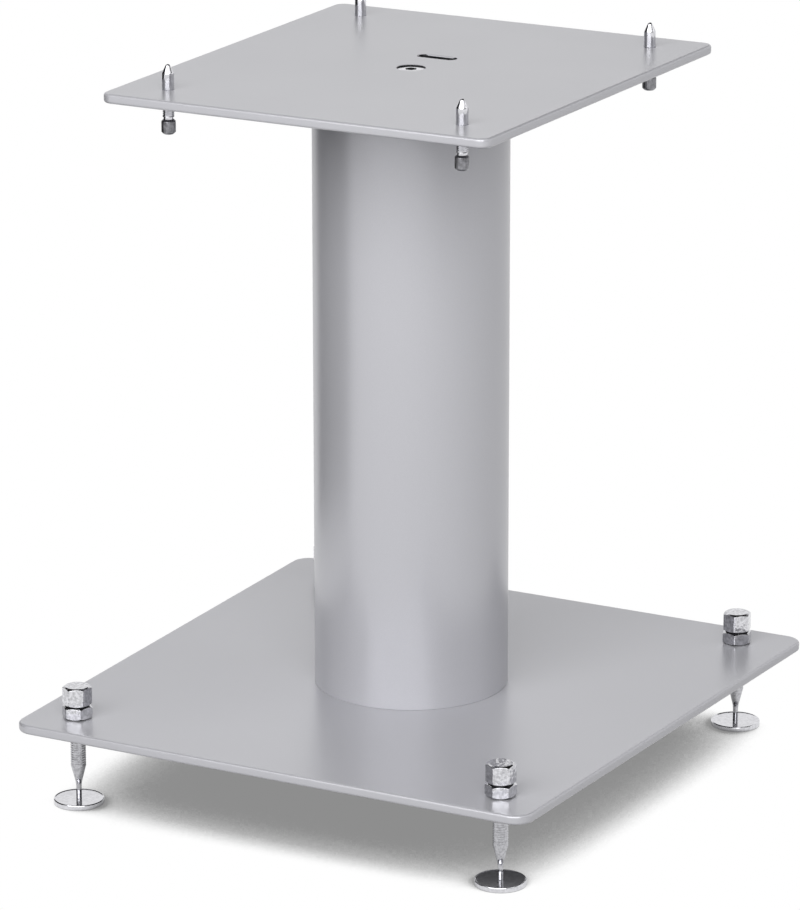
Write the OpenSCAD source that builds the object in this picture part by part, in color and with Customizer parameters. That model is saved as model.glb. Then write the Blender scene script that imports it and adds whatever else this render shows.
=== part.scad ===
// Low speaker stand: two steel plates joined by a round column.
// Four adjustable spikes under the base stand on loose floor discs.
// Four adjustable spikes through the top plate carry the speaker.
// Units are millimetres. The floor is z = 0, the column stands on x = y = 0 and the front is -Y.

/* [Base plate] */
// Width of the base plate along its front edge
base_front_w = 291; // [260:1:340]
// Width of the base plate along its rear edge
base_rear_w = 307; // [260:1:340]
// Depth of the base plate, front to rear
base_d = 313; // [280:1:360]
// Thickness of the base plate
base_t = 5; // [4:0.5:8]
// Radius of the base plate's corners
base_corner_r = 10; // [4:1:20]
// Height of the base plate's underside above the floor
base_lift = 41; // [38:1:46]

/* [Top plate] */
// Width of the top plate along its front edge
top_front_w = 214; // [196:1:260]
// Width of the top plate along its rear edge
top_rear_w = 220; // [196:1:260]
// Depth of the top plate, front to rear
top_d = 248; // [226:1:290]
// Thickness of the top plate
top_t = 5; // [4.5:0.5:8]
// Radius of the top plate's corners
top_corner_r = 6; // [3:1:15]

/* [Plate edges] */
// Radius that rounds the upper and lower edges of both plates
edge_r = 1.5; // [0.6:0.1:1.8]

/* [Column] */
// Outer diameter of the column tube
column_od = 100; // [90:1:120]
// Wall thickness of the column tube
column_wall = 3; // [2:0.5:5]
// Height of the column tube
column_h = 318.5; // [240:0.5:480]

/* [Column end discs] */
// Thickness of the disc welded inside the top of the column
bridge_t = 8; // [6:0.5:12]
// Thickness of the ring welded inside the foot of the column
flange_t = 8; // [6:0.5:12]
// Diameter of the opening through the ring at the foot of the column
flange_bore_d = 50; // [36:1:54]
// Gap round the two discs, closed by the weld
weld_gap = 0.1; // [0.05:0.05:0.2]

/* [Cable path] */
// Length of the cable slot in the top plate
slot_l = 21.5; // [14:0.5:30]
// Width of the cable slot in the top plate
slot_w = 7; // [5:0.5:9]
// Distance of the cable slot behind the column's axis
slot_y = 28; // [22:0.5:30]
// How much further the slot in the disc below reaches on every side
slot_margin = 2; // [1:0.5:3]
// Diameter of the cable outlet in the base plate
outlet_d = 30; // [20:1:34]

/* [Top screw] */
// Diameter of the top screw's thread
top_screw_d = 8; // [6:1:10]
// Diameter of the top screw's countersunk head
top_head_d = 14.5; // [13:0.5:16]
// Length of the top screw over its head
top_screw_l = 14; // [12:1:20]
// Width across the flats of the top screw's socket
top_socket_af = 5; // [4:0.5:6]
// Depth of the top screw's socket
top_socket_depth = 2.8; // [2:0.2:3.5]

/* [Base screws] */
// Number of screws that hold the column to the base plate
base_screw_n = 4; // [3:1:8]
// Diameter of the circle that the base screws stand on
base_screw_pcd = 72; // [70:1:76]
// Diameter of a base screw's thread
base_screw_d = 6; // [5:1:6]
// Diameter of a base screw's countersunk head
base_head_d = 11; // [10:0.5:12]
// Length of a base screw over its head
base_screw_l = 12; // [10:1:13]
// Width across the flats of a base screw's socket
base_socket_af = 4; // [3:0.5:5]
// Depth of a base screw's socket
base_socket_depth = 2; // [1.5:0.1:2.5]

/* [Locating pins] */
// Diameter of the two pins that keep the top plate from turning
dowel_d = 5; // [4:0.5:6]
// Length of a locating pin
dowel_l = 9; // [7:0.5:10]
// How far a locating pin reaches into the top plate
dowel_reach = 2.5; // [2:0.1:3]
// Distance of a locating pin to the side of the column's axis
dowel_x = 30; // [24:1:34]

/* [Foot spikes] */
// Distance of a front foot from the side edge of the base plate
foot_front_inset = 25.2; // [20:0.1:35]
// Distance of a rear foot from the side edge of the base plate
foot_rear_inset = 28.9; // [20:0.1:35]
// Distance of a foot from the front or rear edge of the base plate
foot_end_inset = 23.4; // [20:0.1:35]
// Diameter of the foot spike's thread
foot_d = 7.9; // [6:0.1:8.9]
// Height of the foot spike's taper above the disc where the full diameter ends
foot_taper_top = 18; // [14:0.5:19]
// Height above the disc where the taper meets the thin point
foot_taper_foot = 8; // [6:0.5:10]
// Diameter of the thin point
foot_point_d = 2.8; // [2.4:0.1:3.4]
// Depth of the cup in the disc that the point stands in
cup_depth = 1.2; // [0.8:0.1:1.4]
// Length of the foot spike's thread inside the cap nut
cap_grip = 7.5; // [6:0.5:8]

/* [Foot nuts] */
// Width across the flats of the lock nut
lock_af = 14; // [13:0.5:17]
// Height of the lock nut
lock_h = 6.8; // [5:0.1:8]
// Width across the flats of the cap nut
cap_af = 13.5; // [12:0.5:16]
// Height of the cap nut
cap_h = 10.2; // [9.5:0.1:14]
// Turn of the front left lock nut, in degrees
lock_turn_front_left = 18; // [0:1:59]
// Turn of the front right lock nut, in degrees
lock_turn_front_right = 27; // [0:1:59]
// Turn of the rear left lock nut, in degrees
lock_turn_rear_left = 59; // [0:1:59]
// Turn of the rear right lock nut, in degrees
lock_turn_rear_right = 46; // [0:1:59]
// Turn of the front left cap nut, in degrees
cap_turn_front_left = 37; // [0:1:59]
// Turn of the front right cap nut, in degrees
cap_turn_front_right = 47; // [0:1:59]
// Turn of the rear left cap nut, in degrees
cap_turn_rear_left = 59; // [0:1:59]
// Turn of the rear right cap nut, in degrees
cap_turn_rear_right = 25; // [0:1:59]

/* [Floor discs] */
// Diameter of a floor disc
disc_d = 26; // [22:1:34]
// Thickness of a floor disc inside its rim
disc_t = 2.4; // [2.2:0.1:4]
// Height of the rim above the disc's face
disc_rim_h = 0.4; // [0.2:0.1:0.8]
// Width of the rim
disc_rim_w = 1; // [0.6:0.1:2]

/* [Top spikes] */
// Distance of a top spike from the side edge of the top plate
spike_side_inset = 25.6; // [20:0.1:40]
// Distance of a top spike from the front or rear edge of the top plate
spike_end_inset = 23.5; // [18:0.1:40]
// Diameter of the top spike's thread
spike_d = 6; // [5:0.5:7]
// Length of the top spike's straight part above the plate
spike_body_h = 8.2; // [5:0.2:12]
// Length of the top spike's point
spike_point_h = 4.5; // [3:0.1:7]
// Radius of the rounded nose of the point
spike_nose_r = 1.35; // [0.6:0.05:1.5]
// Length of the top spike between the plate and its knob
spike_reach = 9.8; // [6:0.2:14]
// Diameter of the plain neck above the knob
neck_d = 5; // [4.6:0.1:5]
// Height of the plain neck above the knob
neck_h = 1.2; // [0.8:0.1:2]

/* [Knobs] */
// Diameter of the knob under a top spike
knob_d = 7.2; // [7:0.1:12]
// Height of the knob
knob_h = 7.6; // [6.5:0.1:12]
// Size of the chamfer at both ends of the knob
knob_chamfer = 1.1; // [0.4:0.1:1.2]
// Number of fine flutes round the knob
knob_flutes = 24; // [12:1:30]
// Diameter of the stub that the knob is pressed on
stub_d = 4; // [3:0.1:4.2]
// Length of the stub inside the knob
stub_l = 6; // [4:0.5:6]

/* [Fits] */
// Radial running clearance of a thread in its hole
thread_gap = 0.05; // [0.02:0.01:0.1]
// Clearance between two seated parts
seat_gap = 0.1; // [0.05:0.05:0.3]

/* [Hidden] */
$fn = 96;

// Heights of the stack, from the floor up
base_top = base_lift + base_t;
column_top = base_top + column_h;
plate_top = column_top + top_t;
column_id = column_od - 2 * column_wall;

// Sizes that follow from the driving ones
cut_over = 1;
head_rim = 0.4;
corner_facets = 48;
edge_facets = 5;
tube_facets = 180;
flute_facets = 24;
nut_face_share = 0.95;
nut_chamfer = 30;
flute_share = 0.5;
flute_out = 0.2;
front = -1;
rear = 1;
left = -1;
right = 1;
silver = "#b6b6bc";
chrome = "#d9dade";
zinc = "#a9abb0";

// Point on the unit circle at a given angle
function unit(angle) = [cos(angle), sin(angle)];

// Half the width of a plate that flares evenly from its front edge to its rear edge
function half_width(front_w, rear_w, d, y) = (front_w + (rear_w - front_w) * (y / d + 0.5)) / 2;

// Angle between a plate's side edge and the Y axis
function flare(front_w, rear_w, d) = atan2(rear_w - front_w, 2 * d);

// Centre of a plate's right corner arc, at the front or the rear end
function corner(front_w, rear_w, d, r, end) =
  let (y = end * (d / 2 - r), a = flare(front_w, rear_w, d))
  [half_width(front_w, rear_w, d, y) - r / cos(a), y];

// Distance across the corners of a hexagon, from that across its flats
function across_corners(af) = af / cos(30);

// Place of a foot on the base plate
function foot_at(side, end) =
  let (y = end * (base_d / 2 - foot_end_inset), inset = end == front ? foot_front_inset : foot_rear_inset)
  [side * (half_width(base_front_w, base_rear_w, base_d, y) - inset), y];

// Place of a top spike on the top plate
function spike_at(side, end) =
  let (y = end * (top_d / 2 - spike_end_inset))
  [side * (half_width(top_front_w, top_rear_w, top_d, y) - spike_side_inset), y];

// Angle at which a round nose leaves the cone below it, where the cone starts at radius r
function nose_start(r, h, nose_r) =
  let (rise = h - nose_r)
  atan2(rise, -r) - asin(nose_r / norm([r, rise])) - 90;

// Round disc of a plate's thickness with rounded edges, which fills one corner of a plate
module corner_disc(r, t) {
  rotate_extrude($fn = corner_facets) polygon(concat(
    [[0, 0]],
    [for (i = [0 : edge_facets]) [r - edge_r, edge_r] + edge_r * unit(i * 90 / edge_facets - 90)],
    [for (i = [0 : edge_facets]) [r - edge_r, t - edge_r] + edge_r * unit(i * 90 / edge_facets)],
    [[0, t]]
  ));
}

// Flat plate that flares to the rear, with round corners and edges, its underside at z = 0
module flared_plate(front_w, rear_w, d, t, r) {
  cf = corner(front_w, rear_w, d, r, front);
  cb = corner(front_w, rear_w, d, r, rear);
  hull() for (side = [left, right]) {
    translate([side * cf[0], cf[1], 0]) corner_disc(r, t);
    translate([side * cb[0], cb[1], 0]) corner_disc(r, t);
  }
}

// Oblong with round ends, length l over all and width w
module oblong(l, w) {
  square([l - w, w], center = true);
  for (side = [left, right]) translate([side * (l - w) / 2, 0]) circle(d = w);
}

// Solid of a countersunk head and its shank, pointing down from z = 0
module countersunk(head_d, shank_d, length, gap) {
  cone_h = (head_d - shank_d) / 2;
  translate([0, 0, -head_rim]) cylinder(h = head_rim + cut_over, r = head_d / 2 + gap);
  translate([0, 0, -head_rim - cone_h])
    cylinder(h = cone_h, r1 = shank_d / 2 + gap, r2 = head_d / 2 + gap);
  translate([0, 0, -length]) cylinder(h = length, r = shank_d / 2 + gap);
}

// Countersunk screw with a hexagon socket, head flush with z = 0, pointing down
module socket_screw(head_d, shank_d, length, socket_af, socket_depth) {
  difference() {
    countersunk(head_d, shank_d, length, 0);
    cylinder(h = 2 * cut_over, d = head_d + 2 * cut_over);
    translate([0, 0, -socket_depth])
      cylinder(h = socket_depth + cut_over, d = across_corners(socket_af), $fn = 6);
  }
}

// Hexagon bar of a given width across flats, with both ends turned to a chamfer
module hexagon_body(af, h) {
  corner_r = across_corners(af) / 2;
  face_r = af / 2 * nut_face_share;
  drop = (corner_r - face_r) * tan(nut_chamfer);
  intersection() {
    cylinder(h = h, r = corner_r, $fn = 6);
    rotate_extrude() polygon([
      [0, 0], [face_r, 0], [corner_r, drop], [corner_r, h - drop], [face_r, h], [0, h]
    ]);
  }
}

// Place of every foot and every top spike, as children of these two modules
module on_foot(side, end, z) {
  p = foot_at(side, end);
  translate([p[0], p[1], z]) children();
}

module on_spike(side, end, z) {
  p = spike_at(side, end);
  translate([p[0], p[1], z]) children();
}

// Places of the screws under the column, the first one half a step off the X axis
module on_base_screws() {
  for (i = [0 : base_screw_n - 1])
    rotate([0, 0, (i + 0.5) * 360 / base_screw_n])
      translate([base_screw_pcd / 2, 0, 0]) children();
}

// Base plate, drilled for the feet, the column screws and the cable
module base_plate() {
  color(silver) difference() {
    translate([0, 0, base_lift])
      flared_plate(base_front_w, base_rear_w, base_d, base_t, base_corner_r);
    for (side = [left, right], end = [front, rear])
      on_foot(side, end, base_lift - cut_over)
        cylinder(h = base_t + 2 * cut_over, r = foot_d / 2 + thread_gap);
    translate([0, 0, base_lift - cut_over]) cylinder(h = base_t + 2 * cut_over, d = outlet_d);
    on_base_screws() translate([0, 0, base_lift]) mirror([0, 0, 1])
      countersunk(base_head_d, base_screw_d, base_t + cut_over, seat_gap);
  }
}

// Column: a plain round tube that stands on the base plate
module column_tube() {
  color(silver) translate([0, 0, base_top]) difference() {
    cylinder(h = column_h, d = column_od, $fn = tube_facets);
    translate([0, 0, -cut_over])
      cylinder(h = column_h + 2 * cut_over, d = column_id, $fn = tube_facets);
  }
}

// Ring welded inside the foot of the column, tapped for the base screws
module column_flange() {
  color(zinc) translate([0, 0, base_top]) difference() {
    cylinder(h = flange_t, r = column_id / 2 - weld_gap);
    translate([0, 0, -cut_over]) cylinder(h = flange_t + 2 * cut_over, d = flange_bore_d);
    on_base_screws() translate([0, 0, -cut_over])
      cylinder(h = flange_t + 2 * cut_over, r = base_screw_d / 2 + thread_gap);
  }
}

// Disc welded inside the top of the column, tapped for the top screw
module column_bridge() {
  color(zinc) translate([0, 0, column_top - bridge_t]) difference() {
    cylinder(h = bridge_t, r = column_id / 2 - weld_gap);
    translate([0, 0, -cut_over])
      cylinder(h = bridge_t + 2 * cut_over, r = top_screw_d / 2 + thread_gap);
    translate([0, slot_y, -cut_over]) linear_extrude(bridge_t + 2 * cut_over)
      oblong(slot_l + 2 * slot_margin, slot_w + 2 * slot_margin);
    for (side = [left, right])
      translate([side * dowel_x, 0, bridge_t - dowel_l + dowel_reach])
        cylinder(h = dowel_l, r = dowel_d / 2 + thread_gap);
  }
}

// Top plate, drilled for the four spikes, the central screw, the cable and two blind pin holes
module top_plate() {
  color(silver) difference() {
    translate([0, 0, column_top])
      flared_plate(top_front_w, top_rear_w, top_d, top_t, top_corner_r);
    for (side = [left, right], end = [front, rear])
      on_spike(side, end, column_top - cut_over)
        cylinder(h = top_t + 2 * cut_over, r = spike_d / 2 + thread_gap);
    translate([0, 0, plate_top])
      countersunk(top_head_d, top_screw_d, top_t + cut_over, seat_gap);
    translate([0, slot_y, column_top - cut_over]) linear_extrude(top_t + 2 * cut_over)
      oblong(slot_l, slot_w);
    for (side = [left, right])
      translate([side * dowel_x, 0, column_top - cut_over])
        cylinder(h = dowel_reach + seat_gap + cut_over, r = dowel_d / 2 + thread_gap);
  }
}

// Screws from under the base plate into the ring in the column
module base_screws() {
  color(zinc) on_base_screws() translate([0, 0, base_lift]) mirror([0, 0, 1])
    socket_screw(base_head_d, base_screw_d, base_screw_l, base_socket_af, base_socket_depth);
}

// Screw from above through the top plate into the disc in the column
module top_screw() {
  color(chrome) translate([0, 0, plate_top])
    socket_screw(top_head_d, top_screw_d, top_screw_l, top_socket_af, top_socket_depth);
}

// Two pins between the disc in the column and the top plate
module locating_pins() {
  color(zinc) for (side = [left, right])
    translate([side * dowel_x, 0, column_top + dowel_reach - dowel_l])
      cylinder(h = dowel_l, d = dowel_d);
}

// Foot spike: a turned rod with a long taper and a thin round point, its thread up in the cap nut
module foot_spike(side, end) {
  point_r = foot_point_d / 2;
  cup_floor = disc_t - cup_depth;
  tip = cup_floor + seat_gap;
  top = base_top + lock_h + cap_grip;
  color(chrome) on_foot(side, end, 0) {
    translate([0, 0, tip + point_r]) sphere(r = point_r);
    rotate_extrude() polygon([
      [0, tip + point_r],
      [point_r, tip + point_r],
      [point_r, disc_t + foot_taper_foot],
      [foot_d / 2, disc_t + foot_taper_top],
      [foot_d / 2, top],
      [0, top]
    ]);
  }
}

// Lock nut that clamps the foot spike on top of the base plate
module lock_nut(side, end, turn) {
  color(chrome) on_foot(side, end, base_top) difference() {
    rotate([0, 0, turn]) hexagon_body(lock_af, lock_h);
    translate([0, 0, -cut_over])
      cylinder(h = lock_h + 2 * cut_over, r = foot_d / 2 + thread_gap);
  }
}

// Closed hexagon cap nut fixed on the foot spike's upper end, the grip for turning it
module cap_nut(side, end, turn) {
  color(chrome) on_foot(side, end, base_top + lock_h) difference() {
    rotate([0, 0, turn]) hexagon_body(cap_af, cap_h);
    translate([0, 0, -cut_over])
      cylinder(h = cap_grip + seat_gap + cut_over, r = foot_d / 2 + thread_gap);
  }
}

// Floor disc with a low rim and a round cup for the spike's point
module floor_disc(side, end) {
  cup_r = foot_point_d / 2 + seat_gap;
  rim_r = disc_d / 2;
  color(chrome) on_foot(side, end, 0) difference() {
    rotate_extrude() polygon([
      [0, 0],
      [rim_r, 0],
      [rim_r, disc_t],
      [rim_r - disc_rim_h, disc_t + disc_rim_h],
      [rim_r - disc_rim_w + disc_rim_h, disc_t + disc_rim_h],
      [rim_r - disc_rim_w, disc_t],
      [0, disc_t]
    ]);
    translate([0, 0, disc_t - cup_depth + cup_r]) sphere(r = cup_r);
    translate([0, 0, disc_t - cup_depth + cup_r]) cylinder(h = cup_depth, r = cup_r);
  }
}

// Top spike: threaded rod with a cone and a round nose, a plain neck and a stub for the knob
module top_spike(side, end) {
  r = spike_d / 2;
  shoulder = plate_top + spike_body_h;
  nose_z = shoulder + spike_point_h - spike_nose_r;
  cone_end = [0, nose_z] + spike_nose_r * unit(nose_start(r, spike_point_h, spike_nose_r));
  knob_top = column_top - spike_reach;
  neck_top = knob_top + neck_h;
  color(chrome) on_spike(side, end, 0) {
    translate([0, 0, nose_z]) sphere(r = spike_nose_r);
    rotate_extrude() polygon([
      [0, knob_top - stub_l],
      [stub_d / 2, knob_top - stub_l],
      [stub_d / 2, knob_top],
      [neck_d / 2, knob_top],
      [neck_d / 2, neck_top],
      [r, neck_top],
      [r, shoulder],
      cone_end,
      [0, cone_end[1]]
    ]);
  }
}

// Knob with fine flutes, pressed on the lower end of a top spike
module knob(side, end) {
  r = knob_d / 2;
  c = knob_chamfer;
  flute_d = PI * knob_d / knob_flutes * flute_share;
  color(zinc) on_spike(side, end, column_top - spike_reach - knob_h) difference() {
    rotate_extrude() polygon([
      [0, 0], [r - c, 0], [r, c], [r, knob_h - c], [r - c, knob_h], [0, knob_h]
    ]);
    for (i = [0 : knob_flutes - 1])
      rotate([0, 0, i * 360 / knob_flutes]) translate([r + flute_d * flute_out, 0, -cut_over])
        cylinder(h = knob_h + 2 * cut_over, d = flute_d, $fn = flute_facets);
    translate([0, 0, knob_h - stub_l - seat_gap])
      cylinder(h = stub_l + seat_gap + cut_over, r = stub_d / 2 + thread_gap);
  }
}

base_plate();
column_tube();
column_flange();
column_bridge();
top_plate();
base_screws();
top_screw();
locating_pins();
foot_spike(left, front);  // foot_spike_front_left
foot_spike(right, front);  // foot_spike_front_right
foot_spike(left, rear);  // foot_spike_rear_left
foot_spike(right, rear);  // foot_spike_rear_right
lock_nut(left, front, lock_turn_front_left);  // lock_nut_front_left
lock_nut(right, front, lock_turn_front_right);  // lock_nut_front_right
lock_nut(left, rear, lock_turn_rear_left);  // lock_nut_rear_left
lock_nut(right, rear, lock_turn_rear_right);  // lock_nut_rear_right
cap_nut(left, front, cap_turn_front_left);  // cap_nut_front_left
cap_nut(right, front, cap_turn_front_right);  // cap_nut_front_right
cap_nut(left, rear, cap_turn_rear_left);  // cap_nut_rear_left
cap_nut(right, rear, cap_turn_rear_right);  // cap_nut_rear_right
floor_disc(left, front);  // floor_disc_front_left
floor_disc(right, front);  // floor_disc_front_right
floor_disc(left, rear);  // floor_disc_rear_left
floor_disc(right, rear);  // floor_disc_rear_right
top_spike(left, front);  // top_spike_front_left
top_spike(right, front);  // top_spike_front_right
top_spike(left, rear);  // top_spike_rear_left
top_spike(right, rear);  // top_spike_rear_right
knob(left, front);  // knob_front_left
knob(right, front);  // knob_front_right
knob(left, rear);  // knob_rear_left
knob(right, rear);  // knob_rear_right
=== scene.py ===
# %% [markdown]
# This is a low stand that lifts a loudspeaker off the floor. Two steel plates are joined by a round
# steel column. Four adjustable spikes under the base plate stand on loose floor discs, and four
# more spikes through the top plate carry the loudspeaker.
#
# The construction model is loaded first and stays where it is. Every piece made below takes its
# place from that model, so nothing has to be fitted afterwards.

# %% Load the construction model
import math

import bmesh
import bpy
from mathutils import Matrix, Vector


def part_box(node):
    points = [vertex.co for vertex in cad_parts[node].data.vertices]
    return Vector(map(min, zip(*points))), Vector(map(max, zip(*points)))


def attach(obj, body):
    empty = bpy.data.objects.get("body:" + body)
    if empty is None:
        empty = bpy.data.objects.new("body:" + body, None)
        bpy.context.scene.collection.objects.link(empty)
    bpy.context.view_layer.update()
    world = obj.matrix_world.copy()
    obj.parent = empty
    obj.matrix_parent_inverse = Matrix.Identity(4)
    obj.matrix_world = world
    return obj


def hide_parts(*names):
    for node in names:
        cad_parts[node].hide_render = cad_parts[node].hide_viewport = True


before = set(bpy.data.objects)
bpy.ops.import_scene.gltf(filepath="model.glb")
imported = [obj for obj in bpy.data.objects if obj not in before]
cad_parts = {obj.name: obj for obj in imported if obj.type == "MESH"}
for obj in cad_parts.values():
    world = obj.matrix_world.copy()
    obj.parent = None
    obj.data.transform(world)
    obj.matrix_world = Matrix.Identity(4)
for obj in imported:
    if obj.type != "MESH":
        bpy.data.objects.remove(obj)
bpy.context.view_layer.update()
MM = 0.001

# %% [markdown]
# The camera stands well back with a long lens, as product photographers like it: the column's
# sides stay almost parallel. It could be aimed with a Track To constraint, but a matrix made of
# three directions is exact and also holds the small roll that the real camera had.

# %% Camera
IMAGE_LONG_SIDE = 910
SENSOR = 36.0
FOCAL_PIXELS = 5212.7
CAMERA_AZIMUTH = math.radians(28.380)
CAMERA_ELEVATION = math.radians(16.577)
CAMERA_ROLL = math.radians(-0.064)
CAMERA_DISTANCE = 2669.3 * MM
AIM_SIDEWAYS = -5.77 * MM
AIM_HEIGHT = 166.9 * MM

back = Vector((
    math.sin(CAMERA_AZIMUTH) * math.cos(CAMERA_ELEVATION),
    -math.cos(CAMERA_AZIMUTH) * math.cos(CAMERA_ELEVATION),
    math.sin(CAMERA_ELEVATION),
))
right = Vector((math.cos(CAMERA_AZIMUTH), math.sin(CAMERA_AZIMUTH), 0.0))
up = back.cross(right)
rolled_right = right * math.cos(CAMERA_ROLL) + up * math.sin(CAMERA_ROLL)
rolled_up = up * math.cos(CAMERA_ROLL) - right * math.sin(CAMERA_ROLL)

camera_data = bpy.data.cameras.new("camera")
camera_data.sensor_width = SENSOR
camera_data.lens = FOCAL_PIXELS / IMAGE_LONG_SIDE * SENSOR
camera_data.clip_start = 0.1
camera_data.clip_end = 50.0
camera = bpy.data.objects.new("camera", camera_data)
bpy.context.scene.collection.objects.link(camera)
place = right * AIM_SIDEWAYS + Vector((0, 0, AIM_HEIGHT)) + back * CAMERA_DISTANCE
camera.matrix_world = Matrix((rolled_right, rolled_up, back)).transposed().to_4x4()
camera.location = place
bpy.context.scene.camera = camera
bpy.context.scene.view_settings.view_transform = "Standard"
print("Lens in mm:", round(camera_data.lens, 1), "at", [round(v, 3) for v in place])

# %% [markdown]
# Colours are written as the sRGB hex values that a paint chart or a picture editor shows. Blender
# computes with linear light, so one function turns the one into the other.
#
# Node trees get long when each node takes five lines. One small function adds a node, sets its
# plain values and links its inputs, and every material below is built with it.

# %% Colour and node helpers
def linear(colour):
    """An sRGB hex colour such as '#c1c1c6' as linear red, green, blue and alpha."""
    channels = [int(colour[i:i + 2], 16) / 255 for i in (1, 3, 5)]
    curve = [c / 12.92 if c <= 0.04045 else ((c + 0.055) / 1.055) ** 2.4 for c in channels]
    return (*curve, 1.0)


def add_node(tree, kind, settings=None, links=None):
    """One shader node with its plain settings and its linked inputs."""
    node = tree.nodes.new("ShaderNode" + kind)
    for name, value in (settings or {}).items():
        if isinstance(name, str) and hasattr(node, name):
            setattr(node, name, value)
        else:
            node.inputs[name].default_value = value
    for name, socket in (links or {}).items():
        tree.links.new(socket, node.inputs[name])
    return node


def new_material(name):
    """A material with its node tree and its Principled shader."""
    material = bpy.data.materials.new(name)
    material.use_nodes = True
    return material, material.node_tree, material.node_tree.nodes["Principled BSDF"]


def per_mm(size):
    """Texture scale that gives a feature of this many millimetres, as coordinates are in metres."""
    return 1 / (size * MM)


def ray_is(tree, *kinds):
    """1 for a ray of one of these Light Path kinds, such as 'Camera', and 0 for any other."""
    path = add_node(tree, "LightPath")
    found = path.outputs[f"Is {kinds[0]} Ray"]
    for kind in kinds[1:]:
        found = add_node(tree, "Math", {"operation": "MAXIMUM"},
                         {0: found, 1: path.outputs[f"Is {kind} Ray"]}).outputs[0]
    return found


# %% [markdown]
# The studio has white walls and a dim ceiling. The world has two jobs: it lights the object, and
# it is the white that the camera and the metal see. Light Path tells these apart, so the light
# can stay at a plain level while the backdrop is pure white.
#
# In a world, Generated coordinates are the direction itself, so their Z says how far up it points.
# The light fades with it from the walls to the ceiling. Upright faces get more of it than level
# ones, which are under the softbox already, and so the column and the plates come out alike.

# %% World
WALL_LIGHT = 0.62
CEILING_LIGHT = 0.2
CEILING_STARTS = 0.6  # on a scale from 0 at the horizon to 1 straight up
WHITE = "#ffffff"

world = bpy.data.worlds.new("studio")
bpy.context.scene.world = world
world.use_nodes = True
tree = world.node_tree
tree.nodes.clear()
height = add_node(tree, "SeparateXYZ", {}, {0: add_node(tree, "TexCoord").outputs["Generated"]})
level = add_node(tree, "MapRange",
                 {"From Max": CEILING_STARTS, "To Min": WALL_LIGHT, "To Max": CEILING_LIGHT},
                 {"Value": height.outputs["Z"]})
light = add_node(tree, "Background", {"Color": linear(WHITE)}, {"Strength": level.outputs["Result"]})
backdrop = add_node(tree, "Background", {"Color": linear(WHITE), "Strength": 1.0})
seen = ray_is(tree, "Camera", "Glossy", "Transmission")
mix = add_node(tree, "MixShader", {}, {"Fac": seen, 1: light.outputs[0], 2: backdrop.outputs[0]})
add_node(tree, "OutputWorld", {}, {"Surface": mix.outputs[0]})
print("World light", WALL_LIGHT, "to", CEILING_LIGHT)

# %% [markdown]
# The floor is a big sheet. For the camera and for reflections it glows with the backdrop's own
# white, so the two meet without a horizon. A glowing sheet takes no shadow, so the soft one under
# the base plate is drawn by how much open sky each point of the floor has above it. The Ambient
# Occlusion node measures that, and its shadow moves with the stand when a foot is screwed up or
# down. Where less than a quarter of the sky is left, the floor is as dark as it gets.
#
# Light that bounces off the floor onto the object has a colour of its own. It is a dark grey:
# a paler floor would light the column's foot and the plates' undersides too much.

# %% Floor
FLOOR_RADIUS = 4.0
FLOOR_BOUNCE = 0.1
SHADOW_REACH = 300 * MM
SKY_IN_SHADOW = 0.24
SKY_IN_THE_OPEN = 0.43
SHADOW_DARKEST = 0.27

floor_material, tree, shader = new_material("pale_studio_floor")
tree.nodes.remove(shader)
bounce = add_node(tree, "BsdfDiffuse", {"Color": (FLOOR_BOUNCE, FLOOR_BOUNCE, FLOOR_BOUNCE, 1)})
sky = add_node(tree, "AmbientOcclusion", {"samples": 16, "Distance": SHADOW_REACH})
shade = add_node(tree, "MapRange",
                 {"From Min": SKY_IN_SHADOW, "From Max": SKY_IN_THE_OPEN, "To Min": SHADOW_DARKEST},
                 {"Value": sky.outputs["AO"]})
white = add_node(tree, "Emission", {"Color": linear(WHITE)}, {"Strength": shade.outputs["Result"]})
seen = ray_is(tree, "Camera", "Glossy", "Transmission")
mix = add_node(tree, "MixShader", {}, {"Fac": seen, 1: bounce.outputs[0], 2: white.outputs[0]})
tree.links.new(mix.outputs[0], tree.nodes["Material Output"].inputs["Surface"])

floor_mesh = bmesh.new()
bmesh.ops.create_circle(floor_mesh, cap_ends=True, segments=96, radius=FLOOR_RADIUS)
floor_data = bpy.data.meshes.new("floor")
floor_mesh.to_mesh(floor_data)
floor_mesh.free()
floor_data.materials.append(floor_material)
floor = bpy.data.objects.new("floor", floor_data)
bpy.context.scene.collection.objects.link(floor)
print("Floor radius in m:", FLOOR_RADIUS)

# %% [markdown]
# Silver paint and chrome only look like metal when they have something to mirror. A large
# softbox hangs in front, a little to the left, and a small weak one lights the right side. Around
# them stand cards, as in any product studio: dark ones at both sides and overhead, and a grey one
# across the front. The dark cards draw the dark sides of the column and the dark lines along
# chamfers and rims. The grey one keeps chrome that faces the camera from being plain white.
#
# The cards show in reflections only: they throw no shadow and the camera never sees them. A card
# glows at the level of its own colour, as if it were lit evenly.

# %% Softboxes and dark cards
CARD_STEPS = 16
LAMP_AIM = Vector((0, 0, 0.2))


def facing(azimuth, elevation):
    """Direction from the object, with the azimuth counted from the camera's own, in degrees."""
    a = CAMERA_AZIMUTH + math.radians(azimuth)
    e = math.radians(elevation)
    return Vector((math.sin(a) * math.cos(e), -math.cos(a) * math.cos(e), math.sin(e)))


def add_softbox(name, azimuth, elevation, distance, width, height, watts):
    """A rectangular lamp that faces the stand. Its distance, width and height are in metres."""
    lamp = bpy.data.lights.new(name, "AREA")
    lamp.shape = "RECTANGLE"
    lamp.size = width
    lamp.size_y = height
    lamp.energy = watts
    holder = bpy.data.objects.new(name, lamp)
    bpy.context.scene.collection.objects.link(holder)
    direction = facing(azimuth, elevation)
    holder.location = LAMP_AIM + direction * distance
    holder.rotation_mode = "QUATERNION"
    holder.rotation_quaternion = direction.to_track_quat("Z", "Y")


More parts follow.
